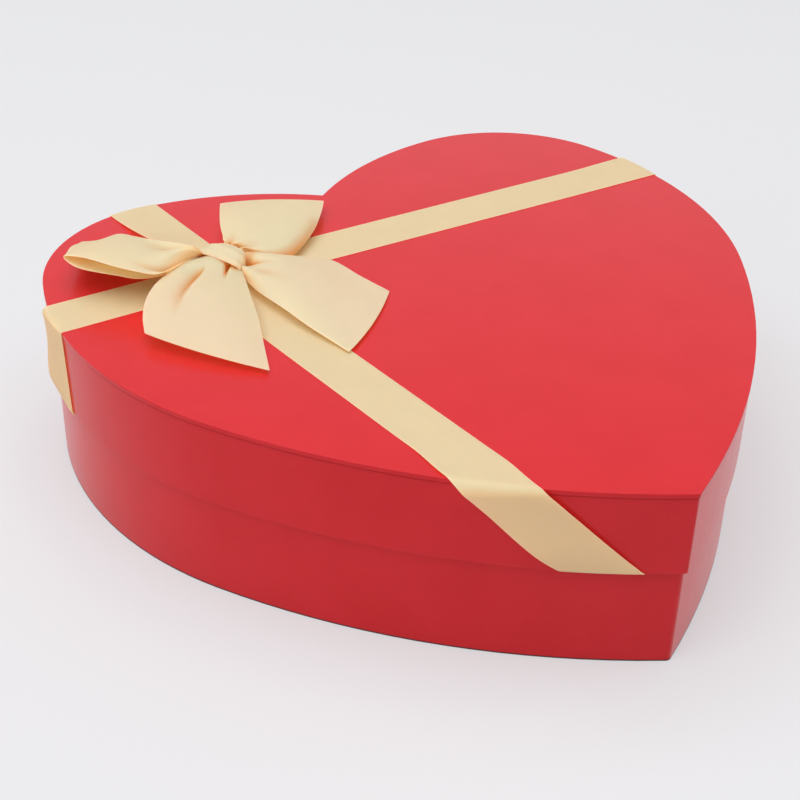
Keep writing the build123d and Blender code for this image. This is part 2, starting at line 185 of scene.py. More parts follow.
def lid_outline():
    """The edge of the lid's top, counterclockwise, as points and their distance along it."""
    points = np.array([v.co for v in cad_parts["lid_top_cover"].data.vertices]) / MM
    on_top = points[:, 2] > LID_TOP - SAME_LEVEL
    edge = np.unique(points[on_top][:, :2].round(EDGE_DECIMALS), axis=0)
    edge = edge[np.argsort(np.arctan2(edge[:, 1], edge[:, 0]))]
    edge = np.vstack([edge, edge[:1]])
    return edge, distances(edge)


EDGE, EDGE_RUN = lid_outline()


def along_edge(run):
    """The point at a distance along the lid's edge."""
    run = np.mod(run, EDGE_RUN[-1])
    return np.stack([np.interp(run, EDGE_RUN, EDGE[:, k]) for k in (0, 1)], axis=-1)


def on_edge(run, inset=0.0):
    """The point at a distance along the lid's edge, drawn in by inset, and the outward normal there."""
    tangent = unit(along_edge(run + EDGE_SPAN) - along_edge(run - EDGE_SPAN))
    normal = np.stack([tangent[..., 1], -tangent[..., 0]], axis=-1)
    return along_edge(run) - normal * inset, normal


def edge_crossing(start, direction):
    """How far a straight line from start goes to the lid's edge, and where along the edge it meets it."""
    step = EDGE[1:] - EDGE[:-1]
    gap = EDGE[:-1] - start
    turn = cross(direction, step)
    with np.errstate(divide="ignore", invalid="ignore"):  # a stretch along the line is never crossed
        reach = cross(gap, step) / turn
        share = cross(gap, direction) / turn
    hits = np.flatnonzero((reach > 0) & (share >= 0) & (share < 1))
    hit = hits[np.argmin(reach[hits])]
    return reach[hit], EDGE_RUN[hit] + share[hit] * np.linalg.norm(step[hit])


# Ribbon bands

# A bend is how one edge of a band goes over the lid's edge: how far inside that it starts, how far out and
# how far down it ends, how far the band lifts off the lid before it, and how far it bellies off the wall
# below it.
Bend = namedtuple("Bend", "inside out down lift belly")
CROSSING_Y = 65.3
CROSS_START = (-62.0, CROSSING_Y)
LONG_FRONT_START = (-69.7, CROSSING_Y)
LONG_BACK_START = (-66.9, CROSSING_Y)
LONG_SKIP = 12.0  # how far from its start each end of the long band begins, under the bow
BAND_COLUMNS = 17
TOP_ROWS = 60
BEND_ROWS = 18
DROP_ROWS = 30
TUCK_ROWS = 5
LEVEL_ON_LID = LID_TOP + RIBBON_GAP + RIBBON / 2  # middle of a ribbon that lies on the lid
FLUSH = RIBBON / 2 + WALL_GAP  # middle of a ribbon that lies on a wall, from the wall
BEND_TURN = radians(104)  # past a quarter turn, so that a band heads back to the wall
DROP_EASE = 1.6  # how soon a band is back at the wall: 1 is evenly, and more is sooner
BELLY_LOW = 1.8  # where a band's belly is: 1 is half way down the wall, and more is lower
LIFT_RUN = 30.0  # distance over which a band lifts off the lid before its edge
SWAY_RUN = 20.0  # distance over which a band sways along the lid's edge before it
HUMP_FLANK = 4.0  # distance over which the long band rises onto the cross band
UNDER_EDGE = 0.8 * RIBBON  # middle of the fold under the lid's edge, from the edge
TUCK_INSET = 1.62  # middle of the tucked ribbon, between the two walls
TUCK_LENGTH = 12.0


def hanging_profile(bend, fold_down, low):
    """How far a band stands off the edge and how far it has dropped, round its bend and down to its fold."""
    turn = np.linspace(0, BEND_TURN, BEND_ROWS)
    fall = np.linspace(0, 1, DROP_ROWS)[1:]
    bend_stand = (bend.inside + bend.out) * np.sin(turn) - bend.inside
    bend_drop = (bend.down + bend.lift) * (1 - np.cos(turn)) - bend.lift
    fall_stand = FLUSH + (bend_stand[-1] - FLUSH) * (1 - fall) ** DROP_EASE
    fall_stand = fall_stand + bend.belly * np.sin(pi * fall**low)
    fall_drop = bend_drop[-1] + (fold_down - bend_drop[-1]) * fall
    return np.concatenate([bend_stand, fall_stand]), np.concatenate([bend_drop, fall_drop])


def tucked_in(run, slope, slack):
    """The end of a band, which turns in under the lid's edge and goes up between the two walls."""
    up = np.linspace(0, TUCK_LENGTH, TUCK_ROWS)
    under = [*on_edge(run, TUCK_INSET / 2)[0], LID_EDGE - UNDER_EDGE - slack]
    inner = on_edge(run + slope * up, TUCK_INSET)[0]
    return np.vstack([under, np.column_stack([inner, LID_EDGE + up])])


def band_end(start, angle, right, left, skip=0.0, drift=1.0, sway=0.0, raised=0.0, slack=0.0, low=BELLY_LOW):
    """Rows of one end of a band, from its start on the lid, over the edge, down the wall and tucked in.

    Right and left are the bends of its two edges, seen along the way it runs. Skip is how far from its start
    the rows begin, drift how much of its slant the band keeps on the wall, sway how far it slips along the
    lid's edge, raised how high its left edge starts, slack how far its fold hangs below the lid, and low
    where its belly is, counted as in BELLY_LOW.
    """
    direction = heading(angle)
    normal = on_edge(edge_crossing(start, direction)[1])[1]
    outward = direction @ normal
    slope = drift * (direction @ leftward(normal)) / outward
    fold_down = LEVEL_ON_LID - LID_EDGE + RIBBON / 2 + slack
    columns = []
    for share in np.linspace(0, 1, BAND_COLUMNS):
        bend = Bend(*(np.array(right) + (np.array(left) - np.array(right)) * share))
        first = np.array(start) + leftward(direction) * BAND_WIDTH * (share - 0.5)
        reach, run = edge_crossing(first, direction)

        along = np.linspace(skip, reach - bend.inside / outward, TOP_ROWS)
        from_bend = along - along[-1]
        rising = bend.lift * ease(from_bend / LIFT_RUN + 1)
        rising = rising + raised * share**2 * (1 - ease((along - skip) / (along[-1] - skip)))
        swaying = sway * ease(from_bend / SWAY_RUN + 1)
        flat = first + direction * along[:, None] + leftward(on_edge(run)[1]) * swaying[:, None]
        top = np.column_stack([flat, LEVEL_ON_LID + rising])

        stand, drop = hanging_profile(bend, fold_down, low)
        unrolled = distances(np.column_stack([stand, drop])) - bend.inside
        wall_run = run + sway + slope * unrolled
        wall, wall_normal = on_edge(wall_run)
        hanging = np.column_stack([wall + wall_normal * stand[:, None], LEVEL_ON_LID - drop])[1:]
        columns.append(np.vstack([top, hanging, tucked_in(wall_run[-1], slope, slack)]))
    return np.stack(columns, axis=1)


def band(name, back_end, front_end, over_crossing):
    """A whole band from its two ends, which meet under the bow, and its length."""
    grid = np.vstack([back_end[::-1, ::-1], front_end])
    if over_crossing:
        near = 1 - ease((np.abs(grid[..., 1] - CROSSING_Y) - BAND_WIDTH / 2) / HUMP_FLANK)
        on_top = grid[..., 2] > LID_TOP
        grid[..., 2] += np.where(on_top, near * (RIBBON + RIBBON_GAP), 0)
    along = distances(grid[:, BAND_COLUMNS // 2])
    piece = sheet_object(name, grid, np.linspace(0, BAND_WIDTH, BAND_COLUMNS), along)
    return piece, along[-1]


def long_band():
    """The band that runs from the back of the left lobe to the front edge, where it stands off."""
    front = band_end(
        LONG_FRONT_START,
        angle=-83.2,
        right=Bend(inside=1.0, out=3.6, down=3.4, lift=0.5, belly=2.2),
        left=Bend(inside=0.4, out=1.6, down=1.8, lift=0.3, belly=0.5),
        skip=LONG_SKIP,
        sway=-2.2,
    )
    back = band_end(
        LONG_BACK_START,
        angle=95.8,
        right=Bend(inside=0.2, out=0.6, down=1.4, lift=0.1, belly=0.0),
        left=Bend(inside=0.2, out=0.8, down=2.0, lift=0.2, belly=0.0),
        skip=LONG_SKIP,
        raised=5.0,
    )
    return band("satin_long_band", back, front, over_crossing=True)


def cross_band():
    """The band straight across both lobes."""
    left = band_end(
        CROSS_START,
        angle=181.0,
        right=Bend(inside=0.3, out=2.1, down=2.0, lift=0.2, belly=2.2),
        left=Bend(inside=0.0, out=0.25, down=0.8, lift=0.0, belly=0.0),
        drift=0.7,
        slack=1.0,
        low=2.4,
    )
    right = band_end(
        CROSS_START,
        angle=-0.35,
        right=Bend(inside=0.1, out=0.7, down=0.9, lift=0.1, belly=0.0),
        left=Bend(inside=0.5, out=1.8, down=1.8, lift=0.6, belly=0.3),
    )
    return band("satin_cross_band", left, right[1:], over_crossing=False)


# Bow

# Each piece has a list of stations along the ribbon, from the knot outwards and, in a loop, back. A station
# gives the ribbon's two edges as x, y and height over the lid, and how far its middle arches between them.
LEFT_LOOP = [
    ((-66.2, 68.7, 5.0), (-65.2, 71.2, 5.5), 0.0),
    ((-73.0, 69.1, 7.5), (-70.8, 70.6, 8.0), 0.3),
    ((-84.5, 61.5, 11.0), (-75.8, 75.0, 9.5), 0.8),
    ((-95.7, 54.9, 13.0), (-82.9, 85.5, 9.0), 1.0),
    ((-103.0, 58.4, 14.5), (-87.5, 94.6, 8.0), 1.2),
    ((-109.3, 66.0, 15.0), (-91.6, 101.5, 7.0), 1.4),
    ((-115.4, 74.7, 15.5), (-98.5, 104.9, 4.5), 1.6),
    ((-120.2, 83.1, 13.4), (-103.5, 110.1, 2.5), 0.8),
    ((-117.5, 76.7, 11.1), (-99.4, 106.7, 1.0), 0.0),
    ((-107.3, 68.0, 9.5), (-90.2, 101.7, 1.2), -0.5),
    ((-97.0, 63.4, 7.5), (-80.7, 92.7, 2.0), -0.5),
    ((-77.9, 66.9, 5.0), (-71.7, 73.1, 5.0), 0.0),
    ((-66.2, 68.2, 4.5), (-65.2, 71.2, 4.5), 0.0),
]
RIGHT_LOOP = [
    ((-62.7, 70.2, 5.5), (-59.2, 64.7, 5.5), 0.0),
    ((-60.0, 73.7, 7.5), (-55.0, 65.7, 7.0), 0.5),
    ((-59.4, 77.2, 9.0), (-49.2, 59.2, 6.2), 1.5),
    ((-55.8, 86.6, 9.0), (-38.6, 59.8, 5.5), 2.5),
    ((-50.6, 97.8, 7.5), (-25.3, 69.8, 5.5), 3.0),
    ((-46.1, 106.9, 5.5), (-13.9, 82.3, 5.0), 2.5),
    ((-43.6, 111.5, 4.0), (-6.2, 93.7, 4.0), 1.0),
    ((-44.0, 109.7, 2.0), (-10.9, 89.4, 2.0), 0.0),
    ((-49.6, 96.8, 2.0), (-27.9, 73.2, 2.0), 0.0),
    ((-57.0, 76.3, 4.5), (-53.2, 66.7, 4.5), 0.0),
    ((-62.2, 68.7, 4.5), (-59.2, 64.7, 4.5), 0.0),
]
FRONT_TAIL = [
    ((-65.7, 71.2, 5.0), (-59.2, 58.2, 4.2), 2.0),
    ((-71.4, 71.5, 6.2), (-62.1, 55.2, 4.6), 2.6),
    ((-82.2, 64.0, 9.5), (-64.9, 46.6, 5.5), 2.2),
    ((-96.1, 54.4, 10.5), (-69.1, 32.9, 5.0), 2.5),
    ((-104.1, 46.7, 9.5), (-72.3, 22.1, 4.0), 2.0),
    ((-109.0, 39.0, 7.5), (-77.8, 7.5, 2.8), 1.2),
    ((-111.6, 32.0, 5.0), (-82.7, -5.9, 1.5), 0.5),
]
RIGHT_TAIL = [
    ((-60.2, 66.2, 5.0), (-61.2, 58.7, 4.4), 0.0),
    ((-55.6, 63.3, 6.8), (-63.0, 52.2, 4.5), 0.8),
    ((-49.7, 58.7, 7.5), (-63.2, 40.2, 4.2), 2.0),
    ((-36.9, 54.4, 5.0), (-60.9, 24.6, 4.0), 2.5),
    ((-27.0, 49.7, 3.0), (-58.4, 11.5, 3.0), 2.0),
    ((-22.5, 36.3, 1.5), (-55.6, 1.3, 2.0), 1.0),
    ((-18.3, 22.1, 0.8), (-53.2, -8.3, 1.3), 0.3),
]
BOW_COLUMNS = 73
BOW_ROWS_PER_STATION = 12
UPPER_END = 0.52  # where a loop's upper side ends, as a share of the loop
UPPER_FADE = 0.08  # share of the loop over which its folds fade out before that
END_BOW_START = 0.75  # where a tail's cut end starts to bow out, as a share of the tail

# Pleats run out from the knot: their count, their phase as a share of one pleat, their reach from the knot
# as a share of the piece, and how much of the ribbon's spare width they take up where it is drawn together.
# A crease has its place across the ribbon at its start and at its end, its start and end along the piece,
# its breadth on either side, all as shares, and its depth.
Pleats = namedtuple("Pleats", "count phase reach gather")
Crease = namedtuple("Crease", "at_start at_end start end before after depth")
MOST_SPARE = 4  # most spare width that counts, in widths of the drawn ribbon
CREASE_ONSET = 0.08  # share of the piece over which a crease gets deep
CREASE_FADE = 1.2  # how a crease fades towards its end: 1 is evenly, and more is sooner

# Painted fold shade: two spans, in columns, over which the cloth is evened out, and how far below that the
# shade is full
FOLD_SHADE_SPANS = ((13, 0.75), (37, 1.9))
CURL_SHADE_FULL = 3.2  # how far an edge that curls under has sunk where its painted shade is full
STRAP_SHADE_REACH = 1.6  # how near to the strap the cloth gets painted shade
STRAP_SHADE = 0.6  # how much painted shade the cloth gets at the strap, as a share of a full fold's

# Knot
KNOT_RUN_ANGLE = -65.0
KNOT_PLACE = np.array([-64.4, 65.5])
KNOT_WIDTH = 11.8
KNOT_REACH = 9.3
KNOT_TAPER = 0.2  # how much longer the strap is at its near edge
KNOT_HALF_HEIGHT = 5.0
KNOT_MIDDLE = 5.6
KNOT_SQUARENESS = 2.8  # 2 is an ellipse, and more has a flatter top
KNOT_BULGE = 0.20  # how much lower the strap is at its edges
KNOT_TUCK = 0.14  # how much more it turns down right at them
KNOT_END_BULGE = 0.25  # share of both that its two ends have
KNOT_PLEAT = 0.25
KNOT_PLEAT_PHASE = 0.6
KNOT_PLEAT_SWAY = 0.5
KNOT_FULL = 0.95  # share of its width that the strap has on top
KNOT_PINCH = 0.22  # share of its width that it loses at its ends
KNOT_ROWS = 81
KNOT_COLUMNS = 33


def knot_axes():
    """The way the strap runs over the knot, and the way across it."""
    run = heading(KNOT_RUN_ANGLE)
    return run, leftward(run)


def by_strap(grid):
    """How near each point is to the knot's strap, seen from above, from 0 to 1."""
    run, across = knot_axes()
    off = grid[..., :2] - KNOT_PLACE
    beside = np.abs(off @ across) - KNOT_WIDTH / 2
    beyond = np.abs(off @ run) - KNOT_REACH
    return 1 - np.clip(np.maximum(beside, beyond) / STRAP_SHADE_REACH, 0, 1)


def crease_depth(crease, from_knot, t):
    """How far a crease sinks the cloth at each point."""
    share = np.clip((from_knot - crease.start) / (crease.end - crease.start), 0, 1)
    middle = (crease.at_start + (crease.at_end - crease.at_start) * share)[:, None]
    fade = (1 - share) ** CREASE_FADE * ease((from_knot - crease.start) / CREASE_ONSET + 0.5)
    breadth = np.where(t < middle, crease.before, crease.after)
    return crease.depth * fade[:, None] * np.exp(-(((t - middle) / breadth) ** 2))


def fold_shade_depth(rise):
    """Painted fold shade: how deep in a fold each point lies, measured against the evened-out cloth around
    it.
    """
    hollow = 0
    for span, full in FOLD_SHADE_SPANS:
        kernel = np.hanning(span + 2)[1:-1]
        padded = np.pad(rise, ((0, 0), (span // 2, span // 2)), mode="reflect", reflect_type="odd")
        even = np.stack([np.convolve(row, kernel / kernel.sum(), mode="valid") for row in padded])
        hollow = hollow + np.clip((even - rise) / full, 0, 1)
    return hollow


def bow_sheet(name, stations, looped, pleats, creases, end_bow=0.0):
    """A piece of the bow and its length: a smooth sheet through its stations, with its pleats and creases.

    End_bow is how far the middle of a tail's cut end bows out.
    """
    rows = BOW_ROWS_PER_STATION * (len(stations) - 1) + 1
    first = curve_through([s[0] for s in stations], rows)
    second = curve_through([s[1] for s in stations], rows)
    arch = curve_through([[s[2]] for s in stations], rows)
    v = np.linspace(0, 1, rows)
    t = np.linspace(0, 1, BOW_COLUMNS)
    hump = 4 * t * (1 - t)
    grid = first[:, None] * (1 - t)[None, :, None] + second[:, None] * t[None, :, None]
    steps = np.linalg.norm(np.diff(grid, axis=0), axis=2).mean(axis=1)
    along = np.concatenate([[0], np.cumsum(steps)])
    way = unit(np.gradient(grid, axis=0))
    normal = unit(np.cross(way, unit(np.gradient(grid, axis=1))))
    if normal[rows // 4, BOW_COLUMNS // 2, 2] < 0:
        normal = -normal
    from_knot = 1 - np.abs(2 * v - 1) if looped else v
    upper = ease((UPPER_END - v) / UPPER_FADE) if looped else np.ones(rows)

    drawn = np.linalg.norm(second - first, axis=1)
    spare = np.sqrt(np.clip(BOW_WIDTH / drawn - 1, 0, MOST_SPARE))
    reach = 1 - (1 - pleats.reach) * upper
    depth = pleats.gather * drawn / (pi * pleats.count) * spare * (1 - ease(from_knot / reach))
    rise = arch * hump + depth[:, None] * np.cos(2 * pi * (pleats.count * t + pleats.phase))
    curl_shade = 0
    for crease in creases:
        sunk = upper[:, None] * crease_depth(crease, from_knot, t)
        rise = rise - sunk
        if crease.at_start >= 1:
            curl_shade = curl_shade + np.clip(sunk / CURL_SHADE_FULL, 0, 1)
    grid = grid + normal * rise[..., None]
    # Painted shade: deepest in the folds, under the curled edges and next to the strap
    folds = np.clip(upper[:, None] * (curl_shade + fold_shade_depth(rise)) + STRAP_SHADE * by_strap(grid), 0, 1)
    pull = end_bow * ease((v - END_BOW_START) / (1 - END_BOW_START))[:, None] * hump
    grid = grid + way * pull[..., None]
    grid[..., 2] += LID_TOP
    piece = sheet_object(name, grid, np.linspace(0, BOW_WIDTH, BOW_COLUMNS), along, folds)
    return piece, along[-1]


def left_loop():
    """The loop at the left, with a valley along its near side."""
    pleats = Pleats(count=1.6, phase=0.24, reach=0.75, gather=1.0)
    creases = [
        Crease(at_start=0.80, at_end=0.74, start=0.0, end=0.50, before=0.05, after=0.06, depth=1.4),
        Crease(at_start=0.15, at_end=0.20, start=0.02, end=0.76, before=0.08, after=0.10, depth=3.6),
    ]
    return bow_sheet("satin_left_loop", LEFT_LOOP, True, pleats, creases)


def right_loop():
    """The loop at the right and the back, whose near edge curls under."""
    pleats = Pleats(count=2.5, phase=0.0, reach=0.6, gather=1.0)
    creases = [
        Crease(at_start=0.82, at_end=0.72, start=0.05, end=0.50, before=0.08, after=0.06, depth=1.8),
        Crease(at_start=1.0, at_end=1.0, start=0.25, end=1.35, before=0.06, after=0.06, depth=4.0),
    ]
    return bow_sheet("satin_right_loop", RIGHT_LOOP, True, pleats, creases)


def front_tail():
    """The tail at the front."""
    pleats = Pleats(count=1.5, phase=-0.52, reach=0.4, gather=0.25)
    creases = [
        Crease(at_start=0.34, at_end=0.25, start=0.36, end=0.80, before=0.14, after=0.045, depth=2.8),
        Crease(at_start=0.67, at_end=0.67, start=0.10, end=0.42, before=0.04, after=0.04, depth=6.0),
    ]
    return bow_sheet("satin_front_tail", FRONT_TAIL, False, pleats, creases, end_bow=1.9)


def right_tail():
    """The tail at the right."""
    pleats = Pleats(count=1.5, phase=-0.16, reach=0.5, gather=0.5)
    creases = [
        Crease(at_start=0.46, at_end=0.22, start=0.05, end=0.42, before=0.06, after=0.06, depth=3.6),
        Crease(at_start=0.54, at_end=0.52, start=0.30, end=0.62, before=0.14, after=0.12, depth=1.0),
    ]
    return bow_sheet("satin_right_tail", RIGHT_TAIL, False, pleats, creases, end_bow=2.0)


def squared(wave):
    """A sine or cosine with the flatter top of the strap."""
    return np.sign(wave) * np.abs(wave) ** (2 / KNOT_SQUARENESS)


def knot():
    """The strap that wraps the gathered ribbon, a flat-topped ring that bulges between its tucked edges."""
    run, across = knot_axes()
    turn = np.linspace(0, 2 * pi, KNOT_ROWS)[:, None]
    share = np.linspace(-1, 1, KNOT_COLUMNS)[None, :]
    barrel = 1 - KNOT_BULGE * share**2 - KNOT_TUCK * share**6
    phase = KNOT_PLEAT_PHASE + KNOT_PLEAT_SWAY * np.sin(turn)
    pleats = KNOT_PLEAT * np.sin(2 * pi * share + phase) * (1 - share**4)
    pinch = KNOT_FULL - KNOT_PINCH * np.abs(np.cos(turn)) ** 3
    end_barrel = 1 - KNOT_END_BULGE + KNOT_END_BULGE * barrel
    reach = KNOT_REACH * (1 - KNOT_TAPER * share) * end_barrel + pleats
    height = KNOT_HALF_HEIGHT * barrel + pleats
    off_middle = share * pinch * KNOT_WIDTH / 2
    flat = KNOT_PLACE + run * (reach * squared(np.cos(turn)))[..., None] + across * off_middle[..., None]
    grid = np.dstack([flat, LID_TOP + KNOT_MIDDLE + height * squared(np.sin(turn))])
    along = distances(grid[:, KNOT_COLUMNS // 2])
    piece = sheet_object("satin_knot", grid, np.linspace(0, KNOT_WIDTH, KNOT_COLUMNS), along)
    return piece, along[-1]


# Material helpers
NOISE_SPAN = (0.3, 0.7)  # the range that most of a noise lies in


def new_material(name):
    """A material with its node tree and its Principled shader."""
    material = bpy.data.materials.new(name)
    material.use_nodes = True
    tree = material.node_tree
    return material, tree, tree.nodes["Principled BSDF"]


def plug(tree, value, socket):
    """Gives an input its value: a number, a colour or another node's output socket."""
    if isinstance(value, bpy.types.NodeSocket):
        tree.links.new(value, socket)
    else:
        socket.default_value = value


def feed(tree, node, **inputs):
    """Gives a node's inputs their values, by names with underscores for spaces."""
    for key, value in inputs.items():
        plug(tree, value, node.inputs[key.replace("_", " ")])


def add(tree, kind, settings=None, **inputs):
    """A new node of that kind, with its settings and its inputs."""
    made = tree.nodes.new(kind)
    for key, value in (settings or {}).items():
        setattr(made, key, value)
    feed(tree, made, **inputs)
    return made


def arithmetic(tree, operation, *values):
    """A Math node's result."""
    made = add(tree, "ShaderNodeMath", {"operation": operation})
    for socket, value in zip(made.inputs, values):
        plug(tree, value, socket)
    return made.outputs[0]


def between(tree, value, span, result):
    """A value mapped smoothly from one range to another."""
    made = add(tree, "ShaderNodeMapRange", {"interpolation_type": "SMOOTHSTEP"}, Value=value)
    feed(tree, made, From_Min=span[0], From_Max=span[1], To_Min=result[0], To_Max=result[1])
    return made.outputs["Result"]


def tint(tree, share, first, second, mode="MIX"):
    """A colour between two, by share."""
    made = add(tree, "ShaderNodeMix", {"data_type": "RGBA", "blend_type": mode})
    sockets = {socket.identifier: socket for socket in made.inputs}
    for key, value in (("Factor_Float", share), ("A_Color", first), ("B_Color", second)):
        plug(tree, value, sockets[key])
    return next(s for s in made.outputs if s.identifier == "Result_Color")


def noise(tree, where, scale, detail=4.0, roughness=0.55):
    """Noise from 0 to 1, with scale features in each unit of the place."""
    made = add(tree, "ShaderNodeTexNoise", Vector=where, Scale=scale, Detail=detail, Roughness=roughness)
    return made.outputs["Fac"]


def millimetres(tree):
    """The place on the object in millimetres."""
    place = tree.nodes.new("ShaderNodeTexCoord").outputs["Object"]
    return add(tree, "ShaderNodeVectorMath", {"operation": "SCALE"}, Vector=place, Scale=1 / MM).outputs[0]


def stretched(tree, where, scale):
    """A place with a scale of its own along each axis."""
    return add(tree, "ShaderNodeMapping", Vector=where, Scale=scale).outputs["Vector"]


def coordinate(tree, vector, axis):
    """One coordinate of a place or a direction."""
    return add(tree, "ShaderNodeSeparateXYZ", Vector=vector).outputs[axis]


def uv_map(tree, name):
    """The place in a UV map."""
    return add(tree, "ShaderNodeUVMap", {"uv_map": name}).outputs["UV"]


def bump(tree, shader, height, distance, below=None):
    """Bump of that height in millimetres, over another bump if one is given."""
    made = add(tree, "ShaderNodeBump", Height=height, Distance=distance * MM)
    if below is not None:
        feed(tree, made, Normal=below.outputs["Normal"])
    feed(tree, shader, Normal=made.outputs["Normal"])
    return made


def surface(tree, shader, colour, grain, roughness, relief):
    """Gives a shader its colour, and a roughness and a relief that follow the grain."""
    feed(tree, shader, Base_Color=colour, Roughness=between(tree, grain, NOISE_SPAN, roughness))
    return bump(tree, shader, grain, relief)


def mix_in(tree, share, shader, other):
    """Shows a share of another shader over the material's own."""
    mixed = add(tree, "ShaderNodeMixShader", Fac=share)
    tree.links.new(shader.outputs[0], mixed.inputs[1])
    tree.links.new(other.outputs[0], mixed.inputs[2])
    tree.links.new(mixed.outputs["Shader"], tree.nodes["Material Output"].inputs["Surface"])


def shade(colour, share):
    """The colour at a share of its strength, as far as white at most."""
    return tuple(min(1.0, share * part) for part in colour) + (1.0,)


# Materials
RED = (0.630, 0.015, 0.022, 1.0)
RED_DEEP = (0.610, 0.013, 0.019, 1.0)
RED_WORN = (0.760, 0.060, 0.065, 1.0)
# Painted shade in the gap under the panel's edge, and painted shadow at the wall's foot
RED_SEAM_SHADE = (0.500, 0.013, 0.018, 1.0)
RED_SHADED = (0.050, 0.022, 0.022, 1.0)
WORN_SPAN = (0.1, 0.9)  # from where it is rubbed most to where it is rubbed no more, off the edge
WORN_SHARE = 0.2
FOOT_SPAN = (0.35, 0.75)  # from full shade to none, over the foot
SEAM_SHADE_SPAN = (0.2, 0.6)  # from the full painted seam shade to none, off its middle
PAINTED_SHADE_SHARE = 0.9  # how much of the paper's colour the painted shade takes, in the seam and at the foot
PAPER_GLOSS = 0.07
PAPER_COAT = 0.85
COAT_ROUGHNESS = 0.25
COAT_IOR = 1.25
PANEL_SEAM_SHADE_DROP = 0.1  # how far below the panel the painted shade on its own paper's edge has its middle
WALL_WAVE = 0.5  # depth of the waves in the paper round a wall
WAVE_SCALE = (0.035, 0.035, 0.008)
LINER_DULL = (0.76, 0.745, 0.71, 1)
LINER_PALE = (0.81, 0.80, 0.775, 1)
LINER_FIBRE = (0.66, 0.63, 0.58, 1)
BOARD_DARK = (0.26, 0.25, 0.23, 1)
BOARD_PALE = (0.40, 0.38, 0.35, 1)
BOARD_FLECK = (0.20, 0.15, 0.10, 1)
BOARD_LAYERS = (0.5, 0.5, 4.0)
TAPE_DARK = (0.42, 0.28, 0.15, 1)
TAPE_PALE = (0.58, 0.42, 0.25, 1)
GLUE_DULL = (0.70, 0.62, 0.46, 1)
GLUE_PALE = (0.80, 0.76, 0.66, 1)
BAND_GOLD = (0.80, 0.96, 0.68)
BOW_GOLD = (0.82, 0.99, 0.77)
FOLD_SHADE_GOLD = (0.84, 0.38, 0.08)  # painted shade: what a deep fold leaves of the gold
STEEP_LIGHT_GOLD = (1.24, 1.06, 0.94, 1.0)  # painted light: how the gold is warmed and brightened where the cloth stands steep
STEEP_SPAN = (0.3, 0.9)  # from steep to nearly level, as the upward part of the normal
SATIN_GLOW = (1.0, 0.72, 0.44, 1.0)  # light that has come through the cloth
SATIN_THIN = 0.55  # how much of the light goes through each face of it
SATIN_GLOSS = 0.5
SATIN_SHEEN = 0.25
SHEEN_ROUGHNESS = 0.4
FLOAT_SHINE = 0.4  # how far the long threads draw the shine out
THREADS = (3.2, 0.12, 1.0)  # streaks across and along the ribbon
PICKS = (0.25, 3.0, 1.0)  # slubs across and along it
CLOUD_SHADE = 0.97
STREAK_SHADE = 1.1
SLUB_SHADE = 0.9
SELVEDGE_SHADE = 1.12
SELVEDGE_SHARE = 0.8
RIB_PITCH = 0.45
RIB_RELIEF = 0.35
SELVEDGE_SPAN = (0.35, 0.75)  # from the full woven edge to none, off the ribbon's edge
SELVEDGE_RELIEF = 1.2
SATIN_RELIEF = 0.02


def off_level(tree, height, at):
    """How far a height is from a level, either way."""
    return arithmetic(tree, "ABSOLUTE", arithmetic(tree, "SUBTRACT", height, at))


def red_paper(name, worn_level=None, seam_shade_level=None, foot_level=None, wave=0.0):
    """Smooth coated paper with faint mottling, paler at a rubbed edge, and with painted shade in the seam
    under the panel and at the foot.
    """
    material, tree, shader = new_material(name)
    where = millimetres(tree)
    height = coordinate(tree, where, "Z")
    mottle = noise(tree, where, scale=0.045, detail=5)
    fibre = noise(tree, where, scale=1.6, detail=6, roughness=0.65)
    colour = tint(tree, between(tree, mottle, (0.35, 0.65), (0, 1)), RED_DEEP, RED)
    colour = tint(tree, between(tree, fibre, (0.45, 0.75), (0, 0.10)), colour, RED_WORN)
    if worn_level is not None:
        rubbed = between(tree, off_level(tree, height, worn_level), WORN_SPAN, (WORN_SHARE, 0))
        patches = noise(tree, where, scale=0.5, detail=3)
        colour = tint(tree, arithmetic(tree, "MULTIPLY", rubbed, patches), colour, RED_WORN)
    if foot_level is not None:
        # Painted contact shadow where the wall meets the floor
        over_foot = arithmetic(tree, "SUBTRACT", height, foot_level)
        colour = tint(tree, between(tree, over_foot, FOOT_SPAN, (PAINTED_SHADE_SHARE, 0)), colour, RED_SHADED)
    if seam_shade_level is not None:
        # Painted shade in the gap under the panel's edge: a darker colour and no coat shine
        seam_shade = between(tree, off_level(tree, height, seam_shade_level), SEAM_SHADE_SPAN, (PAINTED_SHADE_SHARE, 0))
        colour = tint(tree, seam_shade, colour, RED_SEAM_SHADE)
        feed(tree, shader, Coat_Weight=between(tree, seam_shade, (0, 1), (PAPER_COAT, 0)))
    feed(tree, shader, Specular_IOR_Level=PAPER_GLOSS)
    feed(tree, shader, Coat_Weight=PAPER_COAT, Coat_Roughness=COAT_ROUGHNESS, Coat_IOR=COAT_IOR)
    fine = surface(tree, shader, colour, fibre, roughness=(0.34, 0.44), relief=0.006)
    if wave:
        bump(tree, shader, noise(tree, stretched(tree, where, WAVE_SCALE), scale=1.0, detail=2), wave, fine)
    return material


def white_liner(name):
    """Uncoated white paper with short fibres."""
    material, tree, shader = new_material(name)
    where = millimetres(tree)
    fibre = noise(tree, where, scale=1.1, detail=7, roughness=0.7)
    cloud = noise(tree, where, scale=0.05, detail=3)
    colour = tint(tree, cloud, LINER_DULL, LINER_PALE)
    colour = tint(tree, between(tree, fibre, (0.55, 0.8), (0, 0.25)), colour, LINER_FIBRE)
    surface(tree, shader, colour, fibre, roughness=(0.7, 0.85), relief=0.03)
    return material


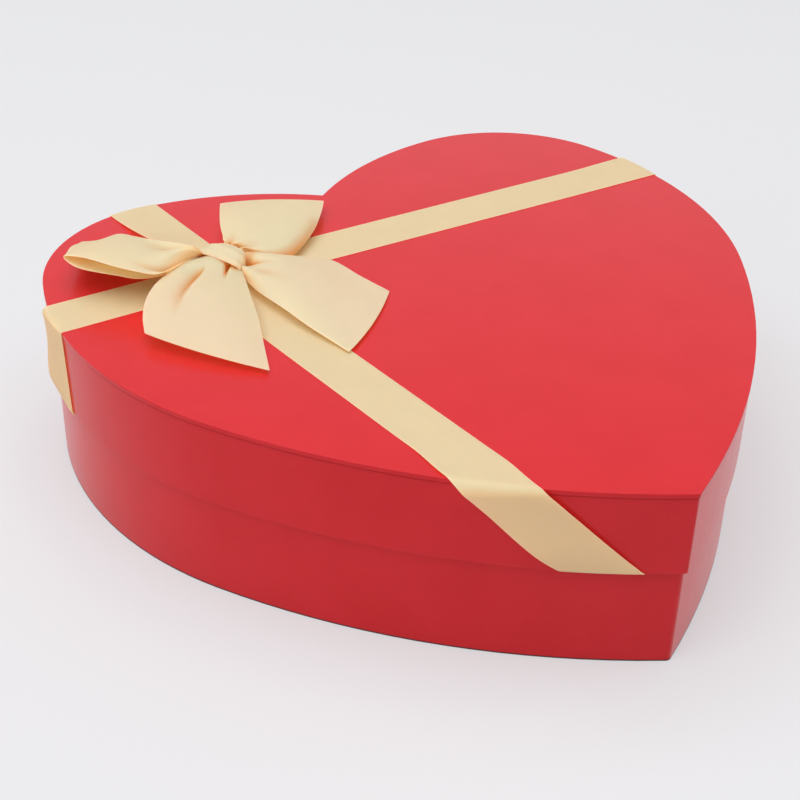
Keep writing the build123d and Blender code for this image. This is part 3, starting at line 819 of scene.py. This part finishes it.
def grey_board(name):
    """Recycled paperboard, grey with darker and browner flecks."""
    material, tree, shader = new_material(name)
    where = millimetres(tree)
    grain = noise(tree, stretched(tree, where, BOARD_LAYERS), scale=1.0, detail=6, roughness=0.7)
    flecks = noise(tree, where, scale=2.2, detail=3)
    colour = tint(tree, grain, BOARD_DARK, BOARD_PALE)
    colour = tint(tree, between(tree, flecks, (0.62, 0.75), (0, 0.6)), colour, BOARD_FLECK)
    surface(tree, shader, colour, grain, roughness=(0.75, 0.9), relief=0.06)
    return material


def stay_tape(name):
    """Gummed kraft tape."""
    material, tree, shader = new_material(name)
    fibre = noise(tree, millimetres(tree), scale=1.3, detail=6, roughness=0.7)
    colour = tint(tree, fibre, TAPE_DARK, TAPE_PALE)
    surface(tree, shader, colour, fibre, roughness=(0.45, 0.6), relief=0.03)
    return material


def hot_glue(name):
    """Clouded hot-melt glue."""
    material, tree, shader = new_material(name)
    cloud = noise(tree, millimetres(tree), scale=0.4, detail=4)
    colour = tint(tree, cloud, GLUE_DULL, GLUE_PALE)
    surface(tree, shader, colour, cloud, roughness=(0.22, 0.38), relief=0.2)
    return material


def gold_satin(name, width, gold):
    """Satin ribbon: fine cross ribs, long floats that shine along it, and a firmer woven edge.

    Painted shade warms and darkens it in its folds, painted light warms it where it stands steep, and it lets
    light through.
    """
    material, tree, shader = new_material(name)
    ribbon = uv_map(tree, "ribbon")
    across = coordinate(tree, ribbon, "X")
    along = coordinate(tree, ribbon, "Y")
    streak = noise(tree, stretched(tree, ribbon, THREADS), scale=1.0, detail=3)
    slub = noise(tree, stretched(tree, ribbon, PICKS), scale=1.0, detail=3)
    cloud = noise(tree, ribbon, scale=0.06, detail=3)
    from_edge = arithmetic(tree, "MINIMUM", across, arithmetic(tree, "SUBTRACT", width, across))
    selvedge = between(tree, from_edge, SELVEDGE_SPAN, (1, 0))
    colour = tint(tree, between(tree, cloud, NOISE_SPAN, (0, 1)), shade(gold, CLOUD_SHADE), shade(gold, 1.0))
    colour = tint(tree, between(tree, streak, (0.4, 0.75), (0, 0.3)), colour, shade(gold, STREAK_SHADE))
    colour = tint(tree, between(tree, slub, (0.5, 0.8), (0, 0.2)), colour, shade(gold, SLUB_SHADE))
    edge_share = arithmetic(tree, "MULTIPLY", selvedge, SELVEDGE_SHARE)
    colour = tint(tree, edge_share, colour, shade(gold, SELVEDGE_SHADE))

    # Painted shade in the folds, from the fold map
    deep = tuple(part * left for part, left in zip(gold, FOLD_SHADE_GOLD)) + (1.0,)
    colour = tint(tree, coordinate(tree, uv_map(tree, "fold"), "X"), colour, deep)
    # Painted light: where the cloth stands steep its colour is warmed and brightened
    facing = add(tree, "ShaderNodeNewGeometry").outputs["Normal"]
    upward = arithmetic(tree, "ABSOLUTE", coordinate(tree, facing, "Z"))
    colour = tint(tree, between(tree, upward, STEEP_SPAN, (1, 0)), colour, STEEP_LIGHT_GOLD, "MULTIPLY")

    feed(tree, shader, Base_Color=colour, Roughness=between(tree, streak, NOISE_SPAN, (0.38, 0.50)))
    feed(tree, shader, Specular_IOR_Level=SATIN_GLOSS, Anisotropic=FLOAT_SHINE)
    feed(tree, shader, Sheen_Weight=SATIN_SHEEN, Sheen_Roughness=SHEEN_ROUGHNESS)
    tangent = add(tree, "ShaderNodeTangent", {"direction_type": "UV_MAP", "uv_map": "ribbon"})
    feed(tree, shader, Tangent=tangent.outputs["Tangent"])
    ribs = arithmetic(tree, "SINE", arithmetic(tree, "MULTIPLY", along, 2 * pi / RIB_PITCH))
    weave = arithmetic(tree, "MULTIPLY_ADD", ribs, RIB_RELIEF, streak)
    weave = arithmetic(tree, "MULTIPLY_ADD", selvedge, SELVEDGE_RELIEF, weave)
    bump(tree, shader, weave, SATIN_RELIEF)
    mix_in(tree, SATIN_THIN, shader, add(tree, "ShaderNodeBsdfTranslucent", Color=SATIN_GLOW))
    return material


# Dressing of the CAD nodes
def dress(material, *nodes):
    """Gives CAD nodes a material."""
    for node in nodes:
        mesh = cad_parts[node].data
        mesh.materials.clear()
        mesh.materials.append(material)


dress(red_paper("red_paper_top", seam_shade_level=PANEL_UNDERSIDE - PANEL_SEAM_SHADE_DROP), "lid_top_cover")
dress(red_paper("red_paper_lid_wall", LID_EDGE, PANEL_UNDERSIDE, wave=WALL_WAVE), "lid_wall_cover")
dress(
    red_paper("red_paper_base", foot_level=BASE_FOOT, wave=WALL_WAVE),
    "base_wall_cover",
    "base_bottom_cover",
)
dress(
    white_liner("white_liner"),
    "base_floor_liner",
    "base_wall_liner",
    "lid_top_liner",
    "lid_wall_liner",
)
dress(
    grey_board("grey_board"),
    "base_floor_board",
    "base_left_wall_board",
    "base_right_wall_board",
    "lid_top_board",
    "lid_left_wall_board",
    "lid_right_wall_board",
)
dress(
    stay_tape("stay_tape"),
    "base_tip_stay_tape",
    "base_notch_stay_tape",
    "lid_tip_stay_tape",
    "lid_notch_stay_tape",
)
dress(hot_glue("hot_glue"), "bow_glue_dot")

EDGE_ROUND = 0.45
EDGE_SEGMENTS = 3
SHARP_ANGLE = radians(50)  # edges sharper than this are rounded
FLAT_ANGLE = radians(0.2)  # faces that agree to this are one
WELD_DISTANCE = 0.001


def round_edges(node):
    """Rounds the sharp edges of a CAD node, where paper bends round board."""
    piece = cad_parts[node]
    weld = piece.modifiers.new("weld", "WELD")
    weld.merge_threshold = WELD_DISTANCE * MM
    flat = piece.modifiers.new("flat", "DECIMATE")
    flat.decimate_type = "DISSOLVE"
    flat.angle_limit = FLAT_ANGLE
    bevel = piece.modifiers.new("round", "BEVEL")
    bevel.width = EDGE_ROUND * MM
    bevel.segments = EDGE_SEGMENTS
    bevel.limit_method = "ANGLE"
    bevel.angle_limit = SHARP_ANGLE
    bevel.harden_normals = True


round_edges("lid_top_cover")

# Ribbons in place of their CAD solids
BAND_SATIN = gold_satin("gold_satin_band", BAND_WIDTH, BAND_GOLD)
BOW_SATIN = gold_satin("gold_satin_bow", BOW_WIDTH, BOW_GOLD)
KNOT_SATIN = gold_satin("gold_satin_knot", KNOT_WIDTH, BOW_GOLD)


def fit_ribbon(made, node, material):
    """Finishes a ribbon piece: its material, the node that it stands for and its body."""
    piece, length = made
    piece.data.materials.append(material)
    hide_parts(node)
    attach(piece, "lid")


fit_ribbon(cross_band(), "ribbon_cross_band", BAND_SATIN)
fit_ribbon(long_band(), "ribbon_long_band", BAND_SATIN)
fit_ribbon(knot(), "bow_knot", KNOT_SATIN)
fit_ribbon(left_loop(), "bow_left_loop", BOW_SATIN)
fit_ribbon(right_loop(), "bow_right_loop", BOW_SATIN)
fit_ribbon(front_tail(), "bow_front_tail", BOW_SATIN)
fit_ribbon(right_tail(), "bow_right_tail", BOW_SATIN)


# Floor, light and camera
def seen_directly(tree):
    """1 where the eye sees something itself, mirrored or through glass, and 0 where it only lights things."""
    path = tree.nodes.new("ShaderNodeLightPath")
    seen = arithmetic(tree, "MAXIMUM", path.outputs["Is Camera Ray"], path.outputs["Is Glossy Ray"])
    return arithmetic(tree, "MAXIMUM", seen, path.outputs["Is Transmission Ray"])


def floor():
    """A wide pale floor."""
    mesh = bpy.data.meshes.new("floor")
    corners = [(x * FLOOR_HALF, y * FLOOR_HALF, 0) for x, y in ((-1, -1), (1, -1), (1, 1), (-1, 1))]
    mesh.from_pydata(corners, [], [(0, 1, 2, 3)])
    material, tree, shader = new_material("floor")
    cloud = noise(tree, tree.nodes.new("ShaderNodeTexCoord").outputs["Object"], scale=FLOOR_CLOUDS, detail=2)
    colour = tint(tree, cloud, shade(FLOOR_GREY[:3], FLOOR_DULL), FLOOR_GREY)
    feed(tree, shader, Base_Color=colour, Roughness=FLOOR_ROUGHNESS)
    pale = add(tree, "ShaderNodeEmission", Color=FLOOR_GREY, Strength=1.0)
    mix_in(tree, arithmetic(tree, "MULTIPLY", seen_directly(tree), FLOOR_PALE_SHARE), shader, pale)
    mesh.materials.append(material)
    piece = bpy.data.objects.new("floor", mesh)
    bpy.context.scene.collection.objects.link(piece)


def light():
    """An even pale room, one large soft lamp overhead and a smaller one at either side."""
    scene = bpy.context.scene
    scene.world = bpy.data.worlds.new("room")
    scene.world.use_nodes = True
    tree = scene.world.node_tree
    strength = arithmetic(tree, "MULTIPLY_ADD", seen_directly(tree), WORLD_SEEN - WORLD_LIGHT, WORLD_LIGHT)
    feed(tree, tree.nodes["Background"], Color=WORLD_TINT, Strength=strength)
    for name, power, size, place in LAMPS:
        lamp = bpy.data.lights.new(name, "AREA")
        lamp.shape = "SQUARE"
        lamp.size = size
        lamp.energy = power
        holder = bpy.data.objects.new(name, lamp)
        holder.location = place
        holder.rotation_euler = Vector(place).to_track_quat("Z", "Y").to_euler()
        scene.collection.objects.link(holder)


def camera():
    """The camera at the photograph's place."""
    data = bpy.data.cameras.new("camera")
    data.sensor_width = SENSOR_WIDTH
    data.lens = FOCAL_LENGTH
    data.clip_start = NEAR_CLIP
    forward = -np.array(
        [
            sin(CAMERA_AZIMUTH) * cos(CAMERA_ELEVATION),
            -cos(CAMERA_AZIMUTH) * cos(CAMERA_ELEVATION),
            sin(CAMERA_ELEVATION),
        ]
    )
    right = unit(np.cross(forward, [0, 0, 1]))
    down = np.cross(forward, right)
    turned_right = cos(CAMERA_ROLL) * right + sin(CAMERA_ROLL) * down
    turned_down = -sin(CAMERA_ROLL) * right + cos(CAMERA_ROLL) * down
    axes = np.column_stack([turned_right, -turned_down, -forward])
    eye = bpy.data.objects.new("camera", data)
    eye.matrix_world = Matrix.Translation((CAMERA_PLACE * MM).tolist()) @ Matrix(axes.tolist()).to_4x4()
    bpy.context.scene.collection.objects.link(eye)
    bpy.context.scene.camera = eye


floor()
light()
camera()
bpy.context.scene.view_settings.view_transform = "Standard"
